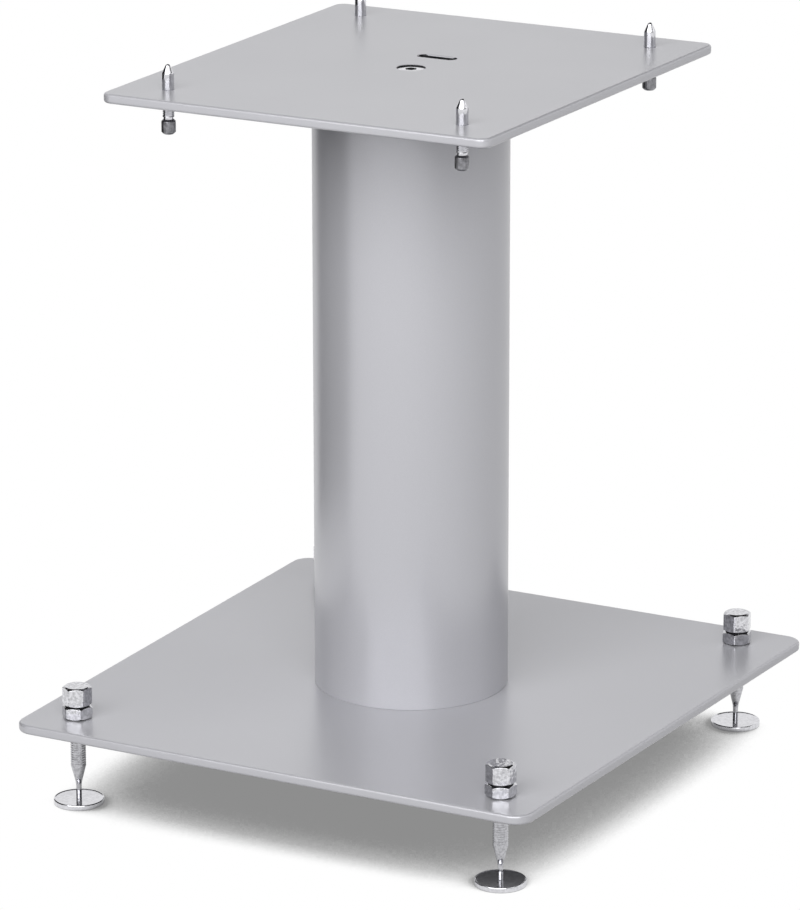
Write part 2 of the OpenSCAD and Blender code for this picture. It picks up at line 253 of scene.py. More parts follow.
def add_card(name, start, end, profile, colour):
    """A card bent round the stand between two azimuths. Its profile lists its distance and height,
    in metres, along a line from its lower to its upper edge."""
    material, tree, shader = new_material(name)
    tree.nodes.remove(shader)
    glow = add_node(tree, "Emission", {"Color": linear(colour), "Strength": 1.0})
    tree.links.new(glow.outputs[0], tree.nodes["Material Output"].inputs["Surface"])
    ways = [facing(start + (end - start) * i / CARD_STEPS, 0) for i in range(CARD_STEPS + 1)]
    points = [tuple(way * distance + Vector((0, 0, height)))
              for distance, height in profile for way in ways]
    row = CARD_STEPS + 1
    faces = [(a, a + 1, a + row + 1, a + row)
             for a in (r * row + i for r in range(len(profile) - 1) for i in range(CARD_STEPS))]
    data = bpy.data.meshes.new(name)
    data.from_pydata(points, [], faces)
    data.materials.append(material)
    card = bpy.data.objects.new(name, data)
    bpy.context.scene.collection.objects.link(card)
    card.visible_camera = False
    card.visible_diffuse = False
    card.visible_shadow = False
    card.visible_transmission = False


add_softbox("softbox_front", -15, 31, 2.2, 3.0, 1.8, 58)
add_softbox("softbox_right", 85, 40, 2.2, 1.2, 1.2, 4)
add_card("dark_card_left", -136, -74, [(0.42, 0.002), (0.9, 0.002), (0.9, 1.2)], "#242424")
add_card("grey_card_front", -72, 74, [(3.0, 0.3), (3.0, 1.8)], "#909090")
add_card("dark_card_right", 70, 165, [(1.2, 0.9), (0.6, 1.6)], "#242424")
add_card("dark_card_above", -180, 180, [(0.02, 1.7), (1.25, 1.7)], "#303030")

# %% [markdown]
# Silver powder coat: polyester powder with fine aluminium flake, sprayed dry onto the steel and
# baked at about 180 degrees. The flake gives the film a soft metallic sheen, but much of what
# the eye sees is the pale plastic round it. So Metallic is set between the two, at 0.28, where the
# column's highlight is as strong as the real one. The baked film keeps a faint orange peel about
# 2 mm across. Real flakes are some 0.05 mm wide, too fine to show here, so they are drawn as a
# grain of 0.5 mm.

# %% Silver powder coat
COAT_SILVER = "#bfbfc4"
COAT_METALLIC = 0.28
COAT_ROUGHNESS = 0.30
COAT_PEEL = 2.2
COAT_FLAKE = 0.5
COAT_CLOUD = 60

powder_coat, tree, shader = new_material("silver_powder_coat")
shader.inputs["Metallic"].default_value = COAT_METALLIC
position = add_node(tree, "TexCoord").outputs["Object"]
flake = add_node(tree, "TexNoise", {"Scale": per_mm(COAT_FLAKE), "Detail": 2.0}, {"Vector": position})
cloud = add_node(tree, "TexNoise", {"Scale": per_mm(COAT_CLOUD), "Detail": 3.0}, {"Vector": position})
peel = add_node(tree, "TexNoise", {"Scale": per_mm(COAT_PEEL), "Detail": 1.0}, {"Vector": position})
tone = add_node(tree, "MapRange", {"To Min": 0.95, "To Max": 1.05}, {"Value": flake.outputs["Fac"]})
colour = add_node(tree, "VectorMath", {"operation": "SCALE", 0: linear(COAT_SILVER)[:3]},
                  {"Scale": tone.outputs["Result"]})
tree.links.new(colour.outputs["Vector"], shader.inputs["Base Color"])
rough = add_node(tree, "MapRange", {"To Min": COAT_ROUGHNESS - 0.03, "To Max": COAT_ROUGHNESS + 0.03},
                 {"Value": cloud.outputs["Fac"]})
tree.links.new(rough.outputs["Result"], shader.inputs["Roughness"])
bump = add_node(tree, "Bump", {"Strength": 0.25, "Distance": 0.01 * MM}, {"Height": peel.outputs["Fac"]})
bump = add_node(tree, "Bump", {"Strength": 0.2, "Distance": 0.005 * MM},
                {"Height": flake.outputs["Fac"], "Normal": bump.outputs["Normal"]})
tree.links.new(bump.outputs["Normal"], shader.inputs["Normal"])
print("Made", powder_coat.name)

# %% [markdown]
# Bright chrome plating: nickel and a thin film of chromium over steel. It is a near mirror, a
# little grey, and keeps the surface of the bar underneath. Turned rods and discs are nearly
# true, with a faint ripple 1.5 mm long. The nuts are pressed from drawn hexagon bar and polished
# in a barrel: their faces are wavy over some 4 mm, and dents and haze make them look mottled.
# The foot spikes get a greyer, hazier copy: its grey is painted shade, for the shaded floor and
# plate underside that they mirror, and its haze varies at random.

# %% Chrome plating
CHROME_GREY = "#d8d8dc"
# Painted shade: a darker chrome for the foot spikes, which mirror the shaded floor
SHADED_CHROME_GREY = "#bababe"
CHROME_RIPPLE = 1.5
CHROME_WAVE = 4
CHROME_SMUDGE = 6


def chrome_plating(name, grey, ripple_depth, wave_depth, haze):
    """Chrome with a fine ripple and a long wave of these depths in millimetres. haze is how far its
    brightness varies, as a share."""
    material, tree, shader = new_material(name)
    shader.inputs["Metallic"].default_value = 1.0
    position = add_node(tree, "TexCoord").outputs["Object"]
    spots = add_node(tree, "TexNoise", {"Scale": per_mm(CHROME_RIPPLE), "Detail": 2.0},
                     {"Vector": position})
    tone = add_node(tree, "MapRange",
                    {"From Min": 0.35, "From Max": 0.65, "To Min": 1 - haze, "To Max": 1 + haze / 4},
                    {"Value": spots.outputs["Fac"]})
    colour = add_node(tree, "VectorMath", {"operation": "SCALE", 0: linear(grey)[:3]},
                      {"Scale": tone.outputs["Result"]})
    tree.links.new(colour.outputs["Vector"], shader.inputs["Base Color"])
    smudge = add_node(tree, "TexNoise", {"Scale": per_mm(CHROME_SMUDGE), "Detail": 3.0},
                      {"Vector": position})
    rough = add_node(tree, "MapRange", {"To Min": 0.05, "To Max": 0.13},
                     {"Value": smudge.outputs["Fac"]})
    tree.links.new(rough.outputs["Result"], shader.inputs["Roughness"])
    wave = add_node(tree, "TexNoise", {"Scale": per_mm(CHROME_WAVE), "Detail": 1.5},
                    {"Vector": position})
    bump = add_node(tree, "Bump", {"Distance": wave_depth * MM}, {"Height": wave.outputs["Fac"]})
    bump = add_node(tree, "Bump", {"Distance": ripple_depth * MM},
                    {"Height": spots.outputs["Fac"], "Normal": bump.outputs["Normal"]})
    tree.links.new(bump.outputs["Normal"], shader.inputs["Normal"])
    return material


chrome = chrome_plating("chrome_plated_steel", CHROME_GREY, 0.02, 0.03, 0.14)
nut_chrome = chrome_plating("chrome_plated_nut", CHROME_GREY, 0.12, 0.4, 0.3)
# The foot spikes' chrome is darkened by painted shade
shaded_foot_chrome = chrome_plating("chrome_with_painted_shade_foot_spike", SHADED_CHROME_GREY, 0.03, 0.1, 0.25)
print("Made", [plating.name for plating in (chrome, nut_chrome, shaded_foot_chrome)])

# %% [markdown]
# Zinc-plated steel for what sits out of sight, and nickel-plated turned steel for the small
# fluted knobs. Both are greyer and duller than chrome, and blotchy over some 2 mm from thin
# plating and handling. The lathe leaves rings finer than the render can show, so they are drawn
# 2.5 mm apart. A Wave texture turns through one full wave in tau / 20 of its scale.
#
# A third metal, a dark grey steel, is painted shade. It goes where shade falls: on the walls of
# the slot and of the screw's hole, and on the lower chamfers of the nuts, which look down into
# the dark gap below them.

# %% Zinc, nickel and painted shade
RING_SPACING = 2.5
RING_DEPTH = 0.02
BLOTCH = 2


def dull_steel(name, grey, roughness):
    """A dull blotchy metal with turned rings about the Z axis."""
    material, tree, shader = new_material(name)
    shader.inputs["Metallic"].default_value = 1.0
    position = add_node(tree, "TexCoord").outputs["Object"]
    rings = add_node(tree, "TexWave",
                     {"bands_direction": "Z", "Scale": per_mm(RING_SPACING) * math.tau / 20,
                      "Distortion": 0.6, "Detail": 1.0}, {"Vector": position})
    spots = add_node(tree, "TexNoise", {"Scale": per_mm(BLOTCH), "Detail": 3.0}, {"Vector": position})
    tone = add_node(tree, "MapRange",
                    {"From Min": 0.3, "From Max": 0.7, "To Min": 0.6, "To Max": 1.25},
                    {"Value": spots.outputs["Fac"]})
    colour = add_node(tree, "VectorMath", {"operation": "SCALE", 0: linear(grey)[:3]},
                      {"Scale": tone.outputs["Result"]})
    tree.links.new(colour.outputs["Vector"], shader.inputs["Base Color"])
    rough = add_node(tree, "MapRange", {"To Min": roughness - 0.06, "To Max": roughness + 0.06},
                     {"Value": spots.outputs["Fac"]})
    tree.links.new(rough.outputs["Result"], shader.inputs["Roughness"])
    bump = add_node(tree, "Bump", {"Strength": 0.3, "Distance": RING_DEPTH * MM},
                    {"Height": rings.outputs["Fac"]})
    tree.links.new(bump.outputs["Normal"], shader.inputs["Normal"])
    return material


zinc = dull_steel("zinc_plated_steel", "#a9abb0", 0.38)
nickel = dull_steel("nickel_plated_steel", "#8a8a8e", 0.30)
# Painted shade for the walls of the slot and of the screw's hole, and for the nuts' lower chamfers
painted_shade_steel = dull_steel("painted_shade_dark_steel", "#3c3c3e", 0.5)
print("Made", [finish.name for finish in (zinc, nickel, painted_shade_steel)])

# %% [markdown]
# Almost every small part of this stand is turned on a lathe. Blender's Spin or Screw could turn
# a profile too, but a short function of rings is exact, closes its own ends and can also
# make a hexagon or a fluted knob, because each ring may change its radius with the angle.
#
# Lengths in these helpers are millimetres. They become metres when the piece is made.

# %% Mesh helpers
TINY = 1e-6


def turned(profile, segments, turn=0.0, closed=False):
    """Points and faces of a form turned about Z. A profile entry is (radius, height), or a function
    from the angle to such a pair. closed joins the last ring to the first, as for a tube."""
    points, rings = [], []
    for entry in profile:
        if not callable(entry) and entry[0] < TINY:
            rings.append([len(points)])
            points.append((0.0, 0.0, entry[1]))
            continue
        ring = []
        for i in range(segments):
            angle = math.tau * i / segments
            radius, height = entry(angle) if callable(entry) else entry
            ring.append(len(points))
            points.append((radius * math.cos(angle + turn), radius * math.sin(angle + turn), height))
        rings.append(ring)
    faces = []
    pairs = list(zip(rings, rings[1:])) + ([(rings[-1], rings[0])] if closed else [])
    for low, high in pairs:
        for i in range(segments):
            j = (i + 1) % segments
            quad = [low[i % len(low)], low[j % len(low)], high[j % len(high)], high[i % len(high)]]
            faces.append([v for n, v in enumerate(quad) if v not in quad[:n]])
    return points, faces


def joined(*parts):
    """Several sets of points and faces as one."""
    points, faces = [], []
    for part_points, part_faces in parts:
        faces += [[v + len(points) for v in face] for face in part_faces]
        points += part_points
    return points, faces


def rounded(profile, radius, steps=4):
    """The profile with each inner corner replaced by a small arc, so that its edge catches light."""
    result = [profile[0]]
    for before, corner, after in zip(profile, profile[1:], profile[2:]):
        here = Vector(corner)
        ways = [Vector(before) - here, Vector(after) - here]
        cut = min(radius, *[way.length * 0.45 for way in ways])
        start, end = [here + way.normalized() * cut for way in ways]
        for i in range(steps + 1):
            t = i / steps
            result.append(tuple(start * (1 - t) ** 2 + here * 2 * t * (1 - t) + end * t ** 2))
    return [*result, profile[-1]]


def make_piece(name, mesh, material, body, node=None, at=(0, 0, 0), sharp=40):
    """A piece from points and faces in millimetres, placed, shaded and tied to its CAD body."""
    points, faces = mesh
    data = bpy.data.meshes.new(name)
    data.from_pydata([[(p + a) * MM for p, a in zip(point, at)] for point in points], [], faces)
    bm = bmesh.new()
    bm.from_mesh(data)
    bmesh.ops.remove_doubles(bm, verts=bm.verts, dist=TINY)
    bmesh.ops.recalc_face_normals(bm, faces=bm.faces)
    bm.to_mesh(data)
    bm.free()
    data.shade_smooth()
    data.set_sharp_from_angle(angle=math.radians(sharp))
    data.materials.append(material)
    piece = bpy.data.objects.new(name, data)
    bpy.context.scene.collection.objects.link(piece)
    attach(piece, body)
    if node:
        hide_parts(node)
    return piece


def soften(piece, width, angle=24):
    """A narrow bevel along the piece's crisp edges, for the thin highlight that real edges have."""
    bevel = piece.modifiers.new("soft_edges", "BEVEL")
    bevel.width = width * MM
    bevel.segments = 2
    bevel.limit_method = "ANGLE"
    bevel.angle_limit = math.radians(angle)
    bevel.harden_normals = True


# %% [markdown]
# The plates are laser-cut steel, 5 mm thick, with round corners and rounded edges. They flare a
# little: the rear edge is longer than the front. A scaled cube with a bevel could give the
# outline, but not the holes with their own edges. So each outline is a function that can grow or
# shrink by an offset. The same function then gives every ring of the rounded rim, and each hole
# has its own rings too. Only the flat faces between them are filled in.

# %% Outlines
EDGE_STEPS = 6
CORNER_STEPS = 20


def flared_outline(front_w, rear_w, depth, radius):
    """Function from an inset to the points of a flared plate with round corners."""
    flare = math.atan2(rear_w - front_w, 2 * depth)
    middle = (front_w + rear_w) / 4
    corners = []
    for end in (-1, 1):
        y = end * (depth / 2 - radius)
        corners.append((middle + y * math.tan(flare) - radius / math.cos(flare), y))
    (front_x, front_y), (rear_x, rear_y) = corners
    quarter = math.pi / 2
    arcs = [
        (front_x, front_y, -quarter, -flare),
        (rear_x, rear_y, -flare, quarter),
        (-rear_x, rear_y, quarter, math.pi + flare),
        (-front_x, front_y, math.pi + flare, 3 * quarter),
    ]

    def outline(inset):
        points = []
        for x, y, start, end in arcs:
            for i in range(CORNER_STEPS + 1):
                angle = start + (end - start) * i / CORNER_STEPS
                points.append((x + (radius - inset) * math.cos(angle),
                               y + (radius - inset) * math.sin(angle)))
        return points
    return outline


def round_hole(x, y, radius, steps=48):
    """Function from an inset to the points of a round hole. A hole grows as the inset falls."""
    def outline(inset):
        angles = [math.tau * i / steps for i in range(steps)]
        return [(x + (radius - inset) * math.cos(a), y + (radius - inset) * math.sin(a)) for a in angles]
    return outline


def oblong_hole(x, y, length, width, steps=16):
    """The same for a slot with round ends that lies along X."""
    def outline(inset):
        points = []
        for side in (1, -1):
            for i in range(steps + 1):
                angle = (-math.pi / 2 + math.pi * i / steps) + (0 if side > 0 else math.pi)
                points.append((x + side * (length - width) / 2 + (width / 2 - inset) * math.cos(angle),
                               y + (width / 2 - inset) * math.sin(angle)))
        return points
    return outline


def soft_wall(top, bottom, soft_top, soft_bottom, sign=1):
    """Rings of a wall with a rounded edge at both ends, as pairs of inset and height."""
    quarter = math.pi / 2
    steps = [i / EDGE_STEPS * quarter for i in range(EDGE_STEPS + 1)]
    upper = [(sign * soft_top * (1 - math.sin(a)), top - soft_top * (1 - math.cos(a))) for a in steps]
    lower = [(sign * soft_bottom * (1 - math.cos(a)), bottom + soft_bottom * (1 - math.sin(a)))
             for a in steps]
    return upper + lower


# %% [markdown]
# A plate is then a list of walls: one round the outside and one for each hole. The first
# ring of every wall lies in the upper face and its last ring in the lower face.

# %% Plate builder
def plate_mesh(walls, blind=()):
    """Points and faces of a plate, in millimetres. A blind hole's wall starts at its closed end."""
    bm = bmesh.new()
    upper_edges, lower_edges = [], []

    def rings_of(outline, rings):
        made = [[bm.verts.new((x, y, z)) for x, y in outline(inset)] for inset, z in rings]
        for above, below in zip(made, made[1:]):
            for i in range(len(above)):
                bm.faces.new((above[i - 1], above[i], below[i], below[i - 1]))
        return made

    def border(ring):
        return [bm.edges.get((ring[i - 1], ring[i])) for i in range(len(ring))]

    for outline, rings in walls:
        made = rings_of(outline, rings)
        upper_edges += border(made[0])
        lower_edges += border(made[-1])
    for outline, rings in blind:
        made = rings_of(outline, rings)
        bm.faces.new(made[0])
        lower_edges += border(made[-1])
    for edges in (upper_edges, lower_edges):
        bmesh.ops.triangle_fill(bm, edges=edges, use_beauty=True)
    points = [tuple(v.co) for v in bm.verts]
    index = {v: i for i, v in enumerate(bm.verts)}
    faces = [[index[v] for v in face.verts] for face in bm.faces]
    bm.free()
    return points, faces


def flatten_shading(piece):
    """Lets the large flat faces rule the shading of their rounded rims."""
    weighted = piece.modifiers.new("flat_faces", "WEIGHTED_NORMAL")
    weighted.weight = 80
    weighted.keep_sharp = True


def middle_of(node):
    """Centre of a CAD node across the floor plan, in millimetres."""
    low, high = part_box(node)
    return (low.x + high.x) / 2 / MM, (low.y + high.y) / 2 / MM


def height_of(node):
    """Lowest and highest point of a CAD node, in millimetres."""
    low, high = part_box(node)
    return low.z / MM, high.z / MM


CORNERS = ("front_left", "front_right", "rear_left", "rear_right")
print("Helpers are ready for", CORNERS)

# %% [markdown]
# The base plate carries the four feet in threaded holes near its corners. Under the column it
# has a cable outlet and four countersunk screws, which are put in from below.

# %% Base plate
EDGE_R = 1.5
BASE_FRONT_W = 291
BASE_REAR_W = 307
BASE_D = 313
BASE_CORNER_R = 10
FOOT_HOLE_R = 4.0
OUTLET_R = 15
SCREW_CIRCLE_R = 36
SCREW_COUNT = 4
SCREW_HEAD_R = 5.5
SCREW_SHANK_R = 3.0
SCREW_RIM = 0.4
SEAT_GAP = 0.1

base_bottom, base_top = height_of("base_plate")
base_outline = flared_outline(BASE_FRONT_W, BASE_REAR_W, BASE_D, BASE_CORNER_R)
walls = [(base_outline, soft_wall(base_top, base_bottom, EDGE_R, EDGE_R))]
for corner in CORNERS:
    hole = round_hole(*middle_of("foot_spike_" + corner), FOOT_HOLE_R)
    walls.append((hole, soft_wall(base_top, base_bottom, 0.3, 0.3, -1)))
walls.append((round_hole(0, 0, OUTLET_R), soft_wall(base_top, base_bottom, 0.5, 0.8, -1)))
screw_places = []
for i in range(SCREW_COUNT):
    angle = math.tau * (i + 0.5) / SCREW_COUNT
    screw_places.append((SCREW_CIRCLE_R * math.cos(angle), SCREW_CIRCLE_R * math.sin(angle)))
head_r = SCREW_HEAD_R + SEAT_GAP
shank_r = SCREW_SHANK_R + SEAT_GAP
countersink = [
    (head_r - shank_r, base_top),
    (head_r - shank_r, base_bottom + SCREW_RIM + head_r - shank_r),
    (0, base_bottom + SCREW_RIM),
    (0, base_bottom + 0.15),
    (-0.15, base_bottom),
]
walls += [(round_hole(x, y, head_r), countersink) for x, y in screw_places]
base_plate = make_piece("base_plate_coated", plate_mesh(walls), powder_coat, "frame",
                        "base_plate", sharp=50)
flatten_shading(base_plate)
print("Base plate:", len(base_plate.data.polygons), "faces")

# %% [markdown]
# The top plate has the same rim. It is drilled for the four spikes, the central screw and a
# slot that the loudspeaker's cable goes down through, and it rests on two pins in blind holes.
# The walls of the slot and of the screw's hole lie in deep shade, which is painted: their faces
# are picked by place and get the dark second material of this mesh.

# %% Top plate
TOP_FRONT_W = 214
TOP_REAR_W = 220
TOP_D = 248
TOP_CORNER_R = 6
SPIKE_HOLE_R = 3.05
TOP_HEAD_R = 7.25
TOP_SHANK_R = 4.0
SLOT_LENGTH = 21.5
SLOT_WIDTH = 7
SLOT_Y = 28
SLOT_SOFT = 0.7
PAINTED_SHADE_BELOW_TOP = 0.2
PIN_R = 2.5
PIN_X = 30
PIN_REACH = 2.5
THREAD_GAP = 0.05

top_bottom, top_top = height_of("top_plate")
top_outline = flared_outline(TOP_FRONT_W, TOP_REAR_W, TOP_D, TOP_CORNER_R)
walls = [(top_outline, soft_wall(top_top, top_bottom, EDGE_R, EDGE_R))]
for corner in CORNERS:
    hole = round_hole(*middle_of("top_spike_" + corner), SPIKE_HOLE_R)
    walls.append((hole, soft_wall(top_top, top_bottom, 0.25, 0.25, -1)))
slot_outline = oblong_hole(0, SLOT_Y, SLOT_LENGTH, SLOT_WIDTH)
walls.append((slot_outline, soft_wall(top_top, top_bottom, SLOT_SOFT, SLOT_SOFT, -1)))
head_r = TOP_HEAD_R + SEAT_GAP
shank_r = TOP_SHANK_R + SEAT_GAP
countersink = [
    (-0.25, top_top),
    (0, top_top - 0.25),
    (0, top_top - SCREW_RIM),
    (head_r - shank_r, top_top - SCREW_RIM - head_r + shank_r),
    (head_r - shank_r, top_bottom),
]
walls.append((round_hole(0, 0, head_r), countersink))
pin_depth = PIN_REACH + SEAT_GAP
pin_wall = [(0, top_bottom + pin_depth), (0, top_bottom)]
blind = [(round_hole(side * PIN_X, 0, PIN_R + THREAD_GAP), pin_wall) for side in (-1, 1)]
top_plate = make_piece("top_plate_coated", plate_mesh(walls, blind), powder_coat, "frame",
                       "top_plate", sharp=50)
flatten_shading(top_plate)
top_plate.data.materials.append(painted_shade_steel)
# Painted shade: the faces of the slot's walls and of the screw hole's wall get the dark material
for face in top_plate.data.polygons:
    x, y, z = face.center / MM
    in_slot = abs(x) < SLOT_LENGTH / 2 and abs(y - SLOT_Y) < SLOT_WIDTH / 2
    if z < top_top - PAINTED_SHADE_BELOW_TOP and (in_slot or math.hypot(x, y) < head_r + SEAT_GAP):
        face.material_index = 1
print("Top plate:", len(top_plate.data.polygons), "faces")

# %% [markdown]
# The column is a plain round tube, sawn square and coated with the plates. Its cut ends are
# barely broken, so the joint with each plate is a thin dark line.

# %% Column
COLUMN_R = 50
COLUMN_WALL = 3

tube_bottom, tube_top = height_of("column_tube")
bore_r = COLUMN_R - COLUMN_WALL
profile = rounded([
    (bore_r, tube_bottom + 1), (bore_r, tube_bottom), (COLUMN_R, tube_bottom),
    (COLUMN_R, tube_top), (bore_r, tube_top), (bore_r, tube_bottom + 1.1),
], 0.3, 3)
column = make_piece("column_coated", turned(profile, 256, closed=True), powder_coat, "frame",
                    "column_tube")
print("Column:", len(column.data.polygons), "faces")

# %% [markdown]
# Countersunk screws with a hexagon socket: one large one from above and four small ones from
# below. The socket is a six-sided ring with few points, so the cone of the head is turned
# in rings whose angle steps fall on the six corners. The large screw's head lies 0.7 mm below
# the plate, which leaves the dark ring that shows round it. Painted shade on the wall of its
# hole darkens that ring further.

# %% Screws
SOCKET_STEPS = 8


def hexagon_radius(flats, angle, corner_r=0.0):
    """Distance from the axis to a hexagon whose round corners lie at 0, 60, 120 degrees and so on."""
    sixth = math.tau / 6
    half = flats / 2
    off_middle = abs(angle % sixth - sixth / 2)
    if off_middle <= math.atan((1 - corner_r / half) * math.tan(sixth / 2)):
        return half / math.cos(off_middle)
    centre = (half - corner_r) / math.cos(sixth / 2)
    from_corner = sixth / 2 - off_middle
    across = centre * math.sin(from_corner)
    return centre * math.cos(from_corner) + math.sqrt(corner_r ** 2 - across ** 2)


def socket_screw(head_r, shank_r, length, socket, socket_depth, drop=0.0):
    """Countersunk screw that hangs down from height 0, its head lowered by drop."""
    cone = head_r - shank_r
    mouth = 0.25
    outside = rounded([
        (0, -length), (shank_r - 0.5, -length), (shank_r, -length + 0.5), (shank_r, -SCREW_RIM - cone),
        (head_r - drop * 0.5, -SCREW_RIM - drop * 0.5), (head_r - drop * 0.5, -drop),
        (socket / 2 + 0.9, -drop),
    ], 0.25, 3)
    inside = [
        lambda a: (hexagon_radius(socket, a) + mouth, -drop),
        lambda a: (hexagon_radius(socket, a), -drop - mouth),
        lambda a: (hexagon_radius(socket, a), -drop - socket_depth),
        lambda a: (socket * 0.42, -drop - socket_depth),
        (0, -drop - socket_depth - 0.5),
    ]
    return turned(outside + inside, 6 * SOCKET_STEPS)


TOP_SCREW_LENGTH = 14
TOP_SOCKET = 5
TOP_SOCKET_DEPTH = 2.8
HEAD_DROP = 0.7
top_screw = make_piece(
    "top_screw_chromed",
    socket_screw(TOP_HEAD_R, TOP_SHANK_R, TOP_SCREW_LENGTH, TOP_SOCKET, TOP_SOCKET_DEPTH, HEAD_DROP),
    chrome, "frame", "top_screw", at=(0, 0, top_top))

BASE_SCREW_LENGTH = 12
BASE_SOCKET = 4
BASE_SOCKET_DEPTH = 2
points, faces = socket_screw(SCREW_HEAD_R, SCREW_SHANK_R, BASE_SCREW_LENGTH, BASE_SOCKET,
                             BASE_SOCKET_DEPTH)
copies = [([(x + px, y - py, base_bottom - pz) for px, py, pz in points], faces)
          for x, y in screw_places]
base_screws = make_piece("base_screws_plated", joined(*copies), zinc, "frame",
                         "base_screws")
print("Screws:", 1 + len(copies))

# %% [markdown]
# A thread is one groove that winds up a rod. It could be an image on a plain rod, but its grooves
# also break up the outline and the highlight, so it is real geometry. The rows of this mesh
# follow the helix themselves: each crest is one clean line. Rows that would run past
# an end are held at it, and the groove fades out there, as on a rolled thread.

# %% Thread helper
THREAD_ROWS = 6


def threaded(radius, depth, pitch, bottom, top, segments):
    """Points and faces of a threaded stretch from bottom to top, open at both ends."""
    # Depth of the groove over one pitch: a flat crest, a flank, the root and the other flank
    groove = (0.0, 0.0, 0.55, 1.0, 1.0, 0.55)
    rows = math.ceil((top - bottom + pitch) / pitch * THREAD_ROWS)
    points, faces = [], []
    for row in range(rows + THREAD_ROWS + 1):
        for i in range(segments):
            raw = bottom - pitch + row * pitch / THREAD_ROWS + pitch * i / segments
            z = min(max(raw, bottom), top)
            fade = min(1.0, (z - bottom) / pitch, (top - z) / pitch)
            r = radius - depth * groove[row % THREAD_ROWS] * fade
            angle = math.tau * i / segments
            points.append((r * math.cos(angle), r * math.sin(angle), z))
    for row in range(rows):
        for i in range(segments):
            if i + 1 < segments:
                a, b = row * segments + i, row * segments + i + 1
            else:
                a, b = row * segments + i, (row + THREAD_ROWS) * segments
            faces.append([a, b, b + segments, a + segments])
    return points, faces


# %% [markdown]
# Each foot is a chromed M8 spike: a round point that stands in the cup of the floor disc, a long
# slim taper and a thread. A hexagon cap nut is fixed on its upper end as a grip, and
# a lock nut clamps it on the base plate. The real thread hardly shows under its plating, so its
# groove is drawn 0.12 mm deep, where a full M8 thread would have 0.7 mm.

# %% Foot spikes
FOOT_R = 3.95
FOOT_PITCH = 1.25
FOOT_GROOVE = 0.12
POINT_R = 1.4
TAPER_FOOT = 10.4
TAPER_TOP = 20.4
FOOT_SEGMENTS = 48


def foot_spike_mesh(bottom, top):
    tip = [(POINT_R * math.sin(a), bottom + POINT_R * (1 - math.cos(a)))
           for a in [math.pi / 2 * i / 8 for i in range(9)]]
    taper = rounded([tip[-1], (POINT_R, TAPER_FOOT), (FOOT_R - 0.1, TAPER_TOP - 0.4),
                     (FOOT_R, TAPER_TOP)], 2.0, 6)
    lower = turned(tip[:-1] + taper, FOOT_SEGMENTS)
    thread = threaded(FOOT_R, FOOT_GROOVE, FOOT_PITCH, TAPER_TOP, top - 0.6, FOOT_SEGMENTS)
    upper = turned([(FOOT_R, top - 0.6), (FOOT_R - 0.6, top), (0, top)], FOOT_SEGMENTS)
    return joined(lower, thread, upper)


for corner in CORNERS:
    node = "foot_spike_" + corner
    x, y = middle_of(node)
    piece = make_piece(node + "_chromed", foot_spike_mesh(*height_of(node)), shaded_foot_chrome,
                       "foot_" + corner, node, at=(x, y, 0), sharp=50)
print("Foot spike:", len(piece.data.polygons), "faces each")

# %% [markdown]
# The nuts are hexagon bar, turned to a 30 degree chamfer at their ends. The cone cuts each
# flat side in a curve, which gives a nut its typical arcs. A boolean of a cone and a
# prism makes the same shape with ragged faces. Here each ring simply follows the formula of
# that cut: the further a point lies out towards a corner, the more the chamfer has lowered it.
# Barrel polishing has worn the hexagon's corners round, those of the cap nuts more. Each nut
# stands at its own angle, where it happened to come tight.

# %% Nuts
NUT_STEPS = 40
CHAMFER_START = 0.88
CHAMFER_SLOPE = math.tan(math.radians(30))


def nut_mesh(flats, corner_r, low, high, bore, turn, blind=None):
    """Hexagon nut between two heights. blind is the depth of its bore, or None for a through bore."""
    face_r = flats / 2 * CHAMFER_START

    def side(end, sign):
        def ring(angle):
            radius = hexagon_radius(flats, angle, corner_r)
            return radius, end + sign * (radius - face_r) * CHAMFER_SLOPE
        return ring

    profile = [(bore, low), (face_r, low), side(low, 1), side(high, -1), (face_r, high)]
    if blind is None:
        return turned([*profile, (bore, high)], 6 * NUT_STEPS, math.radians(turn), closed=True)
    profile = [(0, low + blind), (bore, low + blind), *profile, (0, high)]
    return turned(profile, 6 * NUT_STEPS, math.radians(turn))


def paint_shade_on_lower_chamfer(nut):
    """Painted shade on the chamfer under a nut: its faces look down at 60 degrees."""
    nut.data.materials.append(painted_shade_steel)
    for face in nut.data.polygons:
        if -0.95 < face.normal.z < -0.5:
            face.material_index = 1


LOCK_FLATS = 14
LOCK_CORNER_R = 0.7
CAP_FLATS = 13.5
CAP_CORNER_R = 1.4
CAP_GRIP = 7.6
LOCK_TURNS = {"front_left": 14, "front_right": 27, "rear_left": 59, "rear_right": 46}
CAP_TURNS = {"front_left": 28, "front_right": 28, "rear_left": 30, "rear_right": 44}
for corner in CORNERS:
    x, y = middle_of("foot_spike_" + corner)
    low, high = height_of("lock_nut_" + corner)
    mesh = nut_mesh(LOCK_FLATS, LOCK_CORNER_R, low, high, FOOT_R + THREAD_GAP, LOCK_TURNS[corner])
    lock = make_piece("lock_nut_" + corner + "_chromed", mesh, nut_chrome, "lock_" + corner,
                      "lock_nut_" + corner, at=(x, y, 0), sharp=20)
    low, high = height_of("cap_nut_" + corner)
    mesh = nut_mesh(CAP_FLATS, CAP_CORNER_R, low, high, FOOT_R + THREAD_GAP, CAP_TURNS[corner], CAP_GRIP)
    cap = make_piece("cap_nut_" + corner + "_chromed", mesh, nut_chrome, "foot_" + corner,
                     "cap_nut_" + corner, at=(x, y, 0), sharp=20)
    for nut in (lock, cap):
        # The lower chamfers get painted shade, for the dark gap beneath each nut
        paint_shade_on_lower_chamfer(nut)
        soften(nut, 0.16)
print("Nuts:", 2 * len(CORNERS))

# %% [markdown]
# The floor discs protect a wooden floor from the spikes. They are turned from bar and chromed,
# with a low lip round a mirror-flat face and a small round cup in the middle.

# %% Floor discs
DISC_R = 13
DISC_LIP = 1.0
DISC_CUP_R = 1.5
DISC_CUP_DEPTH = 1.2


